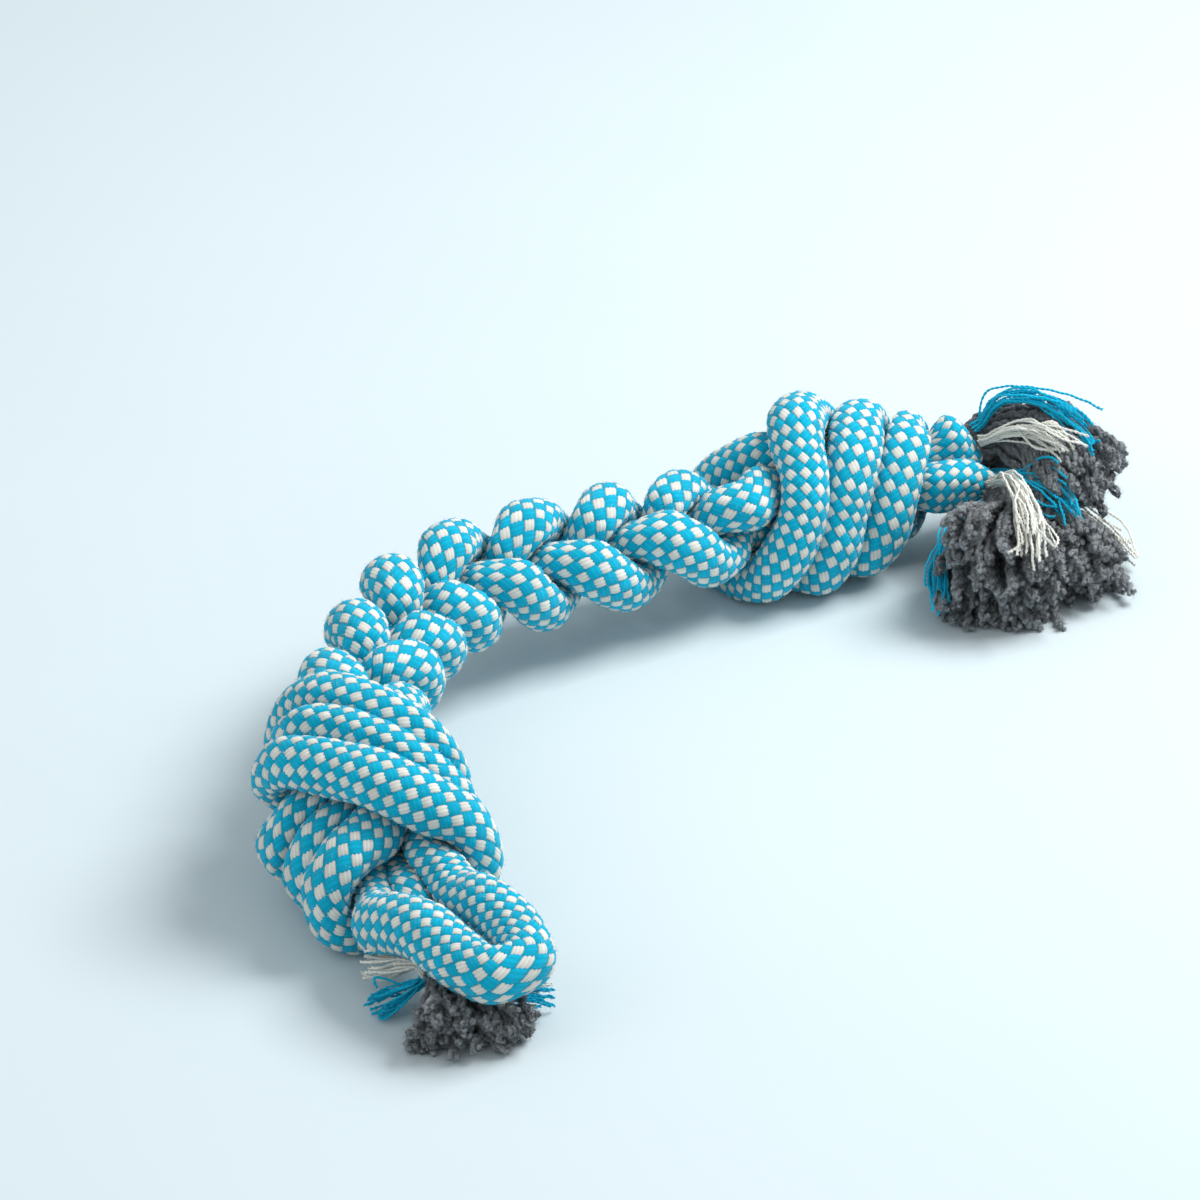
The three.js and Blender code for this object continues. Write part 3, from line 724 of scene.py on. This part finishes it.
def braid_tree():
    """Yarns laid flat in rows, over and under each other, and then wrapped round a rope."""
    tree = Tree(
        "braided_cover", Rope="Object", Rope_length="Float", Start="Float", End="Float",
        First_row="Int", Rows="Int", Carriers="Int", Girth="Float", Row_spacing="Float",
        Yarn_angle="Float", Float_length="Float", Float_width="Float", Crown="Float", Dip="Float",
        Groove="Float", Fibres="Float", Fibre_length="Float", Seed="Int", Blue="Material",
        Beige="Material", Under="Material",
    )
    given = tree.given
    rope = tree.output(tree.node("GeometryNodeObjectInfo", Object=given("Rope")), "Geometry")
    rope_uv = tree.attribute("rope", "FLOAT_VECTOR")

    def wrapped(geometry):
        """Moves flat geometry onto the rope: X along it, Y round it and Z out of it."""
        x, y, z = tree.parts(tree.position())
        u = tree.math("MAXIMUM", x / given("Rope_length"), SURFACE_MARGIN)
        u = tree.math("MINIMUM", u, 1 - SURFACE_MARGIN)
        uv = tree.xyz(u, tree.math("FRACT", y / given("Girth")), 0.0)

        def sampled(value):
            node = tree.node(
                "GeometryNodeSampleUVSurface", {"data_type": "FLOAT_VECTOR"}, Mesh=rope, Value=value,
                UV_Map=rope_uv, Sample_UV=uv,
            )
            return tree.output(node, "Value")

        place = sampled(tree.position())
        outward = sampled(tree.add("GeometryNodeInputNormal"))
        moved = tree.vector("ADD", place, tree.vector("SCALE", outward, z))
        placed = tree.add("GeometryNodeSetPosition", Geometry=geometry, Position=moved)
        return tree.add("GeometryNodeFlipFaces", Mesh=placed)

    shaped = float_of_yarn(tree)
    seed = given("Seed")
    carriers = given("Carriers")
    parts = []
    for label, shift, turn, width in WAYS_ROUND:
        index = tree.add("GeometryNodeInputIndex")
        row = tree.math("FLOOR", (index + 0.5) / carriers)
        column = index - row * carriers
        spot = tree.xyz(
            (row + given("First_row") + shift) * given("Row_spacing"),
            (column + shift) * (given("Girth") / carriers), 0.0,
        )
        spots = tree.add("GeometryNodePoints", Count=given("Rows") * carriers, Position=spot)
        angle = given("Yarn_angle") * turn + tree.random(-ASKEW, ASKEW, seed)
        turned_way = tree.add("FunctionNodeEulerToRotation", Euler=tree.xyz(0.0, 0.0, angle))
        size = tree.xyz(
            1.0, tree.random((1 - WIDTH_SPREAD) * width, (1 + WIDTH_SPREAD) * width, seed),
            tree.random(1 - HEIGHT_SPREAD, 1 + HEIGHT_SPREAD, seed),
        )
        laid = tree.add(
            "GeometryNodeInstanceOnPoints", Points=spots, Instance=shaped, Rotation=turned_way, Scale=size,
        )
        laid = tree.store(laid, "tone", tree.random(0.0, 1.0, seed), "FLOAT", "INSTANCE")
        laid = wrapped(tree.add("GeometryNodeRealizeInstances", Geometry=laid))
        fibres = tree.fibres(laid, given("Fibres"), given("Fibre_length"), seed)
        parts += [(laid, given(label)), (fibres, given(label))]

    # A sheet of painted shade under the yarns, a dark blue seen through the gaps between them
    length = given("End") - given("Start")
    rows = tree.math("MAXIMUM", tree.math("CEIL", length / SHADE_SHEET_STEP), 3.0)
    shade_sheet = tree.add(
        "GeometryNodeMeshGrid", Size_X=length, Size_Y=given("Girth"), Vertices_X=rows,
        Vertices_Y=SHADE_SHEET_ROUND,
    )
    x, y, _ = tree.parts(tree.position())
    middle = (given("Start") + given("End")) * 0.5
    spot = tree.xyz(x + middle, given("Girth") * 0.5 + y, given("Dip") * -SHADE_SHEET_DEPTH)
    shade_sheet = tree.add("GeometryNodeSetPosition", Geometry=shade_sheet, Position=spot)
    shade_sheet = wrapped(shade_sheet)
    shade_sheet = tree.add("GeometryNodeMergeByDistance", Geometry=shade_sheet, Distance=SHADE_SHEET_SEAM)
    return tree.finish(*parts, (shade_sheet, given("Under")))


# For each joint, the way that the rope runs from the parent body to the child at the hinge, and
# how far to each side of the hinge the rope bends
BENDS = {
    "near_knot_bend": ((-0.137, -0.990, 0.040), 18.5 * MM),
    "far_knot_bend": ((0.857, 0.514, -0.037), 18.5 * MM),
    "loop_lift": ((0.633, -0.748, 0.196), 8.7 * MM),
    "near_tuft_swing": ((0.317, -0.893, -0.317), 8.7 * MM),
    "far_tuft_lift": ((0.883, 0.423, -0.206), 4.1 * MM),
}

# The joint that each bent length of rope crosses, and the bodies that hold the other lengths
BENT_LENGTHS = {
    "loop_right_leg": "loop_lift", "loop_left_leg": "loop_lift", "near_tail": "near_tuft_swing",
    **{f"plait_strand_{k}_near": "near_knot_bend" for k in (1, 2, 3)},
    **{f"plait_strand_{k}_far": "far_knot_bend" for k in (1, 2, 3)},
    **{f"far_tail_{k}": "far_tuft_lift" for k in (1, 2, 3)},
}
WHOLE_BODIES = ("near_knot", "far_knot", "plait", "loop")


def carry(piece, name):
    """Moves a length of rope with the body that it belongs to; one that crosses a joint is left unbent."""
    if name not in BENT_LENGTHS:
        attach(piece, next(body for body in WHOLE_BODIES if name.startswith(body)))
        return
    joint = next(joint for joint in frame["joints"] if joint["name"] == BENT_LENGTHS[name])
    way, reach = BENDS[joint["name"]]
    hinge = np.array(joint["pos_m"])
    start = hinge - np.array(way) * reach
    end = hinge + np.array(way) * reach
    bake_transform(piece)


class ROPE_OT_braid(Operator):
    """Braids the cover of every length of rope."""

    bl_idname = "rope_toy.braid"
    bl_label = "Braid the ropes"

    def execute(self, context):
        settings = context.scene.rope_braid
        blue, beige, under = rope_finishes(settings)
        girth = math.pi * settings.diameter
        across = girth / settings.carriers / 2
        row = across / math.tan(settings.yarn_angle)
        step = math.hypot(across, row)
        tree = braid_tree()
        for rope, stretches in (("long_rope", LONG_ROPE), ("short_rope", SHORT_ROPE)):
            surface, length, runs = rope_surface(rope, stretches, settings.swell)
            for name, (start, end) in runs.items():
                first = math.ceil(start / (2 * row))
                last = math.ceil(end / (2 * row))
                piece = grown(
                    name + "_braid", bpy.data.meshes.new(name), tree, Rope=surface, Rope_length=length,
                    Start=start, End=end, First_row=first, Rows=last - first,
                    Carriers=settings.carriers, Girth=girth, Row_spacing=2 * row,
                    Yarn_angle=settings.yarn_angle, Float_length=2 * step,
                    Float_width=2 * across * row / step, Crown=settings.crown, Dip=settings.dip,
                    Groove=settings.groove, Fibres=BRAID_FIBRES, Fibre_length=BRAID_FIBRE_LENGTH,
                    Seed=settings.seed, Blue=blue, Beige=beige, Under=under,
                )
                keep_off_floor(piece)
                carry(piece, name)
                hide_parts(name + "_cover", name + "_core")
            bpy.data.objects.remove(surface)
        return {"FINISHED"}


# Tufts

GOLDEN_ANGLE = math.pi * (3 - math.sqrt(5))

# Points along each yarn, and points round the smooth outline of a bundle
LINE_POINTS = 12
BUNDLE_ROUND = 48

# For each cut end, its tail and the length of rope that the tail grows from
TAILS = {
    "near": ("near_tail", "near_knot_strand_2"),
    **{f"far_{k}": (f"far_tail_{k}", f"far_knot_strand_{k}") for k in (1, 2, 3)},
}

# Bundles of yarns: the cut end, the number of yarns and, for core yarns, how far they fan out
CORE_YARNS = {
    "far_core_yarns_1": ("far_1", 84, 0.9), "far_core_yarns_2": ("far_2", 64, 1.1),
    "far_core_yarns_3": ("far_3", 74, 0.8), "near_core_yarns": ("near", 74, 0.9),
}
BLUE_YARNS = {
    "far_blue_yarns_1": ("far_1", 22), "far_blue_yarns_2": ("far_2", 20),
    "far_blue_yarns_3": ("far_3", 20), "near_blue_yarns_1": ("near", 26),
    "near_blue_yarns_2": ("near", 22),
}
BEIGE_YARNS = {
    "far_beige_yarns_1": ("far_1", 30), "far_beige_yarns_2": ("far_2", 24),
    "far_beige_yarns_3": ("far_3", 20), "near_beige_yarns_1": ("near", 18),
    "near_beige_yarns_2": ("near", 14),
}

# Places along a yarn where its wander is set, and how strong it is after the first
SWAY_PLACES = np.array([0, 0.35, 0.7, 1.0])
SWAY_GROWTH = np.array([0.4, 0.8, 1.0])

# Core yarns, in shares of the bundle's length: where they start, where the middle one ends, how
# much sooner the outer ones end, how far the ends differ, and how much further a few reach
CORE_START = 0.04
CORE_TIP = 1.04
CORE_TIP_ROUNDING = 0.2
CORE_TIP_SPREAD = 0.045
CORE_EXTRA = (0.0, 0.1)
CORE_EXTRA_ODDS = (0.93, 0.07)

# Where the bundle is widest, how wide the yarns lie beside it, where they start to fan out, and
# how far they wander
CORE_WIDEST = 0.7
CORE_WIDTH = 1.06
CORE_FAN_START = 0.5
CORE_SWAY = 1.3 * MM

# Roots of core yarns: their depth in the tail, and how wide they lie beside the bundle
CORE_ROOT_DEPTH = 3 * MM
CORE_ROOT_WIDTH = 0.5

# Lowest height of a yarn's middle, beside its thickness
CORE_REST = 0.45
THREAD_REST = 0.5

# Cover threads: where they end, where the bundle is widest, how wide they lie beside it at the
# root, and how much wider at the tip
THREAD_TIPS = (0.7, 1.0)
THREAD_WIDEST = 0.85
THREAD_WIDTH = 0.55
THREAD_FAN = 0.75

# How far threads stray, the odds of each, and the share of it at the near end, under the loop
THREAD_STRAYS = (0.9 * MM, 3.0 * MM, 5.5 * MM)
THREAD_STRAY_ODDS = (0.55, 0.3, 0.15)
NEAR_STRAY = 0.5

# How far the tips of far threads lie outside the core yarns
THREAD_LIFT = 4 * MM

# Roots of threads: their depth in the tail, how far they lie towards their bundle's side of it,
# and how wide they lie beside the bundle
THREAD_ROOT_DEPTH = 2.5 * MM
THREAD_ROOT_SIDE = 0.75
THREAD_ROOT_WIDTH = 0.7


def tail_end(tail, strand):
    """Middle of a tail's cut end, and the way that the rope leaves it."""
    middles = np.array([ring.mean(0) for ring in rings_of(tail + "_core")])
    strand_points, _ = welded(strand + "_core")
    gaps = [np.linalg.norm(strand_points - middles[i], axis=1).min() for i in (0, -1)]
    if gaps[0] > gaps[1]:
        middles = middles[::-1]
    way = middles[-1] - middles[-2]
    return middles[-1], way / np.linalg.norm(way)


def bundle(node, end):
    """Centres of a bundle's rings from its root to its tips, smooth offsets and places along it."""
    rings = rings_of(node)
    if np.linalg.norm(rings[0].mean(0) - end) > np.linalg.norm(rings[-1].mean(0) - end):
        rings.reverse()
    centres = np.array([ring.mean(0) for ring in rings])
    rounds = line_up(centres, [ring - centre for ring, centre in zip(rings, centres)])
    at = along(centres)
    return centres, rounded(rounds, BUNDLE_ROUND), at / at[-1]


def swayed(t, draw, amount):
    """A smooth wander that starts at nothing."""
    wander = draw.normal(0, amount, (3, 3)) * SWAY_GROWTH[:, None]
    return eased(np.vstack([np.zeros(3), wander]), SWAY_PLACES, np.clip(t, 0, 1))


def core_lines(node, tail, count, spread, draw, thickness):
    """Core yarns that fill a bundle, each a line of points from inside the tail to its tip."""
    end, way = tail_end(*TAILS[tail])
    centres, rounds, at = bundle(node, end)
    shares = np.cumsum((eased(rounds, at, np.array([CORE_WIDEST]))[0] ** 2).sum(1))
    shares /= shares[-1]
    lines = []
    for i in range(count):
        out = math.sqrt((i + 0.5) / count)
        column = int(np.searchsorted(shares, i * GOLDEN_ANGLE / math.tau % 1))
        tip = CORE_TIP - CORE_TIP_ROUNDING * out**2 + draw.normal(0, CORE_TIP_SPREAD)
        tip += draw.choice(CORE_EXTRA, p=CORE_EXTRA_ODDS)
        t = np.linspace(CORE_START, tip, LINE_POINTS)
        offset = eased(rounds[:, column], at, np.minimum(t, CORE_WIDEST))
        fan = (CORE_WIDTH + spread * np.maximum(t - CORE_FAN_START, 0))[:, None]
        line = eased(centres, at, t) + out * fan * offset + swayed(t, draw, CORE_SWAY)
        root = end - way * CORE_ROOT_DEPTH + offset[0] * out * CORE_ROOT_WIDTH
        line = np.vstack([root, line])
        line[:, 2] = np.maximum(line[:, 2], thickness * CORE_REST)
        lines.append(line)
    return lines


def lifted(centres, at, tail):
    """A far bundle's centres moved out from the middle of the far tuft, so that its threads show."""
    if tail == "near":
        return centres
    tufts = [np.vstack(rings_of(name)).mean(0) for name, row in CORE_YARNS.items() if row[0] != "near"]
    away = centres - np.mean(tufts, axis=0)
    away /= np.linalg.norm(away, axis=1)[:, None]
    return centres + away * (at * THREAD_LIFT)[:, None]


def cover_lines(node, tail, count, draw, thickness):
    """Threads of unbraided cover yarn in a bundle, with a few that stray from it."""
    end, way = tail_end(*TAILS[tail])
    centres, rounds, at = bundle(node, end)
    centres = lifted(centres, at, tail)
    side = centres[0] - end
    side -= way * side.dot(way)
    lines = []
    for _ in range(count):
        out = math.sqrt(draw.random())
        column = draw.integers(BUNDLE_ROUND)
        tip = draw.uniform(*THREAD_TIPS)
        stray = draw.choice(THREAD_STRAYS, p=THREAD_STRAY_ODDS)
        if tail == "near":
            stray *= NEAR_STRAY
        t = np.linspace(0, tip, LINE_POINTS)
        offset = eased(rounds[:, column], at, np.minimum(t, THREAD_WIDEST))
        spread = (out * (THREAD_WIDTH + THREAD_FAN * t))[:, None]
        line = eased(centres, at, t) + spread * offset + swayed(t, draw, stray)
        root = end - way * THREAD_ROOT_DEPTH + side * THREAD_ROOT_SIDE
        root += offset[0] * out * THREAD_ROOT_WIDTH
        line = np.vstack([root, line])
        line[:, 2] = np.maximum(line[:, 2], thickness * THREAD_REST)
        lines.append(line)
    return lines


# Length of yarn that its pattern of fibres is laid out over
PATTERN_LENGTH = 5 * MM

# How late along a yarn its plies flare apart, and how late it lightens as its tip
FLARE_POWER = 6.0
TIP_POWER = 1.5

# Light at a yarn's root beside its tip, and how fast it grows along the yarn
YARN_ROOT_LIGHT = 0.55
YARN_LIGHT_RISE = 1.6

# Fibres at a yarn's root beside the usual number, how many more its tip has, and how late
FUZZ_AT_ROOT = 0.6
FUZZ_AT_TIP = 3.0
FUZZ_POWER = 4.0


def yarn_tree():
    """Yarns of twisted plies along curves, with flared tips, crimps and loose fibres."""
    tree = Tree(
        "frayed_yarns", Step="Float", Plies="Int", Sides="Int", Ply_radius="Float", Slubs="Float",
        Slub_scale="Float", Twist_radius="Float", Twist_length="Float", Flare="Float",
        Crimp="Float", Crimp_length="Float", Fibres="Float", Fibre_length="Float", Seed="Int",
        Yarn="Material",
    )
    given = tree.given
    seed = given("Seed")
    curves = tree.add(
        "GeometryNodeCurveSplineType", {"spline_type": "CATMULL_ROM"}, Curve=given("Geometry"),
    )
    curves = tree.add(
        "GeometryNodeResampleCurve", {"mode": "LENGTH"}, Curve=curves, Length=given("Step"),
    )
    curves = tree.store(curves, "tone", tree.random(0.0, 1.0, seed), "FLOAT", "CURVE")
    curves = tree.store(curves, "phase", tree.random(0.0, math.tau, seed), "FLOAT", "CURVE")
    doubled = tree.node(
        "GeometryNodeDuplicateElements", {"domain": "SPLINE"}, Geometry=curves, Amount=given("Plies"),
    )

    parameter = tree.node("GeometryNodeSplineParameter")
    length = tree.output(parameter, "Length")
    place = tree.output(parameter, "Factor")
    phase = tree.attribute("phase")
    share = tree.output(doubled, "Duplicate Index") / given("Plies")
    turn = share * math.tau + length / given("Twist_length") * math.tau + phase
    reach = given("Twist_radius") * (place**FLARE_POWER * given("Flare") + 1.0)
    wave = length / given("Crimp_length") * math.tau + phase
    wave = tree.math("SINE", wave) * given("Crimp")
    normal = tree.add("GeometryNodeInputNormal")
    tangent = tree.add("GeometryNodeInputTangent")
    across = tree.vector("CROSS_PRODUCT", tangent, normal)
    moved = tree.vector(
        "ADD", tree.vector("SCALE", normal, tree.math("COSINE", turn) * reach + wave),
        tree.vector("SCALE", across, tree.math("SINE", turn) * reach),
    )
    # Painted light for the cotton finish: painted shade at a yarn's root, deep in its tuft
    light = place * YARN_LIGHT_RISE + YARN_ROOT_LIGHT
    plies = tree.store(tree.output(doubled, "Geometry"), "length", length)
    plies = tree.store(plies, "tip", place**TIP_POWER)
    plies = tree.store(plies, "depth", tree.math("MINIMUM", light, 1.0))
    plies = tree.add("GeometryNodeSetPosition", Geometry=plies, Offset=moved)

    ring = tree.add(
        "GeometryNodeCurvePrimitiveCircle", Resolution=given("Sides"), Radius=given("Ply_radius"),
    )
    ring = tree.store(ring, "round", place)
    slubs = tree.add("ShaderNodeTexNoise", Scale=given("Slub_scale"), Detail=1.0)
    slubs = (slubs - 0.5) * given("Slubs") + 1.0
    tubes = tree.add(
        "GeometryNodeCurveToMesh", Curve=plies, Profile_Curve=ring, Scale=slubs, Fill_Caps=True,
    )
    spot = tree.xyz(tree.attribute("length") / PATTERN_LENGTH, tree.attribute("round"), 0.0)
    tubes = tree.store(tubes, "yarn", spot, "FLOAT2", "CORNER")
    fuzz = tree.attribute("tip") ** FUZZ_POWER * FUZZ_AT_TIP + FUZZ_AT_ROOT
    fibres = tree.fibres(tubes, given("Fibres") * fuzz, given("Fibre_length"), seed)
    return tree.finish((tubes, given("Yarn")), (fibres, given("Yarn")))


def as_curves(name, lines):
    """Curve data with a spline along each line of points."""
    data = bpy.data.curves.new(name, "CURVE")
    data.dimensions = "3D"
    for line in lines:
        spline = data.splines.new("POLY")
        spline.points.add(len(line) - 1)
        weighted = np.column_stack([line, np.ones(len(line))])
        spline.points.foreach_set("co", weighted.astype(np.float32).ravel())
    return data


def tuft_of(node):
    return "near_tuft" if node.startswith("near") else "far_tuft"


# How each kind of yarn is twisted and frayed, with the fibres on each square metre of it
CORE_TWIST = {
    "Step": 1.9 * MM, "Plies": 2, "Sides": 5, "Slubs": 1.6, "Slub_scale": 420.0,
    "Twist_length": 9 * MM, "Flare": 0.7, "Crimp": 0.3 * MM, "Crimp_length": 8 * MM,
    "Fibres": 3.6e5, "Fibre_length": 2.2 * MM,
}
THREAD_TWIST = {
    "Step": 0.9 * MM, "Plies": 2, "Sides": 5, "Slubs": 0.8, "Slub_scale": 600.0,
    "Twist_length": 3.5 * MM, "Flare": 0.6, "Crimp": 0.13 * MM, "Crimp_length": 7 * MM,
    "Fibres": 3e5, "Fibre_length": 1.2 * MM,
}

# Radius of a ply, and of the turns that it makes in each kind of yarn, beside the yarn's thickness
PLY_RADIUS = 0.3
CORE_TURN_RADIUS = 0.22
THREAD_TURN_RADIUS = 0.24


class ROPE_OT_core_yarns(Operator):
    """Opens the core of each cut end into charcoal yarns."""

    bl_idname = "rope_toy.core_yarns"
    bl_label = "Fray the core yarns"

    def execute(self, context):
        settings = context.scene.rope_tufts
        material = charcoal_yarn("charcoal_cotton", settings.charcoal, settings.fleck)
        tree = yarn_tree()
        draw = np.random.default_rng(settings.seed)
        size = settings.core_yarn
        for node, (tail, count, spread) in CORE_YARNS.items():
            lines = core_lines(node, tail, count, spread, draw, size)
            piece = grown(
                node + "_twisted", as_curves(node, lines), tree, Ply_radius=size * PLY_RADIUS,
                Twist_radius=size * CORE_TURN_RADIUS, Seed=settings.seed, Yarn=material, **CORE_TWIST,
            )
            keep_off_floor(piece)
            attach(piece, tuft_of(node))
            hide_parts(node)
        return {"FINISHED"}


class ROPE_OT_cover_yarns(Operator):
    """Unbraids the cover of each cut end into blue and beige threads."""

    bl_idname = "rope_toy.cover_yarns"
    bl_label = "Fray the cover yarns"

    def execute(self, context):
        settings = context.scene.rope_tufts
        blue, beige, _ = rope_finishes(context.scene.rope_braid)
        tree = yarn_tree()
        draw = np.random.default_rng(settings.seed + 1)
        size = settings.thread
        for yarns, material, slot in ((BLUE_YARNS, blue, "blue_yarn"), (BEIGE_YARNS, beige, "beige_yarn")):
            for node, (tail, count) in yarns.items():
                lines = cover_lines(node, tail, count, draw, size)
                piece = grown(
                    node + "_threads", as_curves(node, lines), tree, Ply_radius=size * PLY_RADIUS,
                    Twist_radius=size * THREAD_TURN_RADIUS, Seed=settings.seed, Yarn=material,
                    **THREAD_TWIST,
                )
                keep_off_floor(piece)
                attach(piece, tuft_of(node))
                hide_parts(node)
        return {"FINISHED"}


# Stage

# Half the floor's side, and the shades that its grain runs between
FLOOR_HALF = 30.0
FLOOR_SHADES = (0.985, 1.015)

SKY_COLOUR = (0.93, 0.97, 1.0, 1)
SKY_STRENGTH = 0.55

# Each lamp's place, size and power, and the point that they face
LAMPS = {
    "key": ((0.85, 0.35, 1.2), 0.8, 25.5),
    "fill": ((-0.9, -0.7, 0.9), 1.1, 3.0),
}
LAMP_AIM = Vector((0, 0, 0.03))

CAMERA_AIM = Vector((-0.0371, 0.0282, 0.044))
CAMERA_REACH = 100.0


def looking(way):
    """Turn of a lamp or camera that looks along a direction."""
    return way.to_track_quat("-Z", "Y").to_euler()


class ROPE_OT_stage(Operator):
    """Puts down a floor and sets the light and the camera."""

    bl_idname = "rope_toy.stage"
    bl_label = "Set the stage"

    def execute(self, context):
        settings = context.scene.rope_stage
        floor = Finish("floor")
        grain = floor.noise(floor.on_object(), Scale=9.0)
        tint = floor.mix(grain, *(shade(settings.floor, share) for share in FLOOR_SHADES))
        floor.set(Base_Color=tint, Roughness=0.9, Specular_IOR_Level=0.1)
        corners = [(x * FLOOR_HALF, y * FLOOR_HALF, 0) for x, y in ((-1, -1), (1, -1), (1, 1), (-1, 1))]
        mesh = bpy.data.meshes.new("floor")
        mesh.from_pydata(corners, [], [(0, 1, 2, 3)])
        mesh.materials.append(floor.material)
        new_object("floor", mesh)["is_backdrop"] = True

        world = bpy.data.worlds.new("studio")
        world.use_nodes = True
        sky = world.node_tree.nodes["Background"].inputs
        sky["Color"].default_value = SKY_COLOUR
        sky["Strength"].default_value = SKY_STRENGTH
        context.scene.world = world
        for name, (place, size, power) in LAMPS.items():
            data = bpy.data.lights.new(name, "AREA")
            data.size = size
            data.energy = power
            lamp = new_object(name, data)
            lamp.location = place
            lamp.rotation_euler = looking(LAMP_AIM - Vector(place))

        data = bpy.data.cameras.new("camera")
        data.sensor_fit = "HORIZONTAL"
        data.angle = settings.field_of_view
        data.clip_end = CAMERA_REACH
        camera = new_object("camera", data)
        back = Vector((0, -math.cos(settings.elevation), math.sin(settings.elevation)))
        camera.location = CAMERA_AIM + back * settings.distance
        camera.rotation_euler = looking(-back)
        context.scene.camera = camera
        context.scene.view_settings.view_transform = "Standard"
        return {"FINISHED"}


class ROPE_PT_panel(Panel):
    """Lists the steps that make the toy."""

    bl_idname = "ROPE_PT_panel"
    bl_label = "Rope toy"
    bl_space_type = "VIEW_3D"
    bl_region_type = "UI"
    bl_category = "Rope toy"

    def draw(self, context):
        for settings, operators in PANEL_ROWS:
            owner = getattr(context.scene, settings)
            for key in owner.bl_rna.properties.keys():
                if key not in ("rna_type", "name"):
                    self.layout.prop(owner, key)
            for operator in operators:
                self.layout.operator(operator.bl_idname)


SETTINGS = {"rope_braid": BraidSettings, "rope_tufts": TuftSettings, "rope_stage": StageSettings}
PANEL_ROWS = (
    ("rope_braid", (ROPE_OT_braid,)), ("rope_tufts", (ROPE_OT_core_yarns, ROPE_OT_cover_yarns)),
    ("rope_stage", (ROPE_OT_stage,)),
)
CLASSES = (
    *SETTINGS.values(), ROPE_OT_braid, ROPE_OT_core_yarns, ROPE_OT_cover_yarns, ROPE_OT_stage,
    ROPE_PT_panel,
)


def register():
    for kind in CLASSES:
        bpy.utils.register_class(kind)
    for name, kind in SETTINGS.items():
        setattr(bpy.types.Scene, name, PointerProperty(type=kind))


def unregister():
    for name in SETTINGS:
        delattr(bpy.types.Scene, name)
    for kind in reversed(CLASSES):
        bpy.utils.unregister_class(kind)


def main():
    register()
    bpy.ops.rope_toy.braid()
    bpy.ops.rope_toy.core_yarns()
    bpy.ops.rope_toy.cover_yarns()
    bpy.ops.rope_toy.stage()
    bpy.context.view_layer.update()
    boxes = {"cad": CAD_BOX, "visual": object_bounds()}
    {key: [list(corner) for corner in box] for key, box in boxes.items()}


if __name__ == "__main__":
    main()
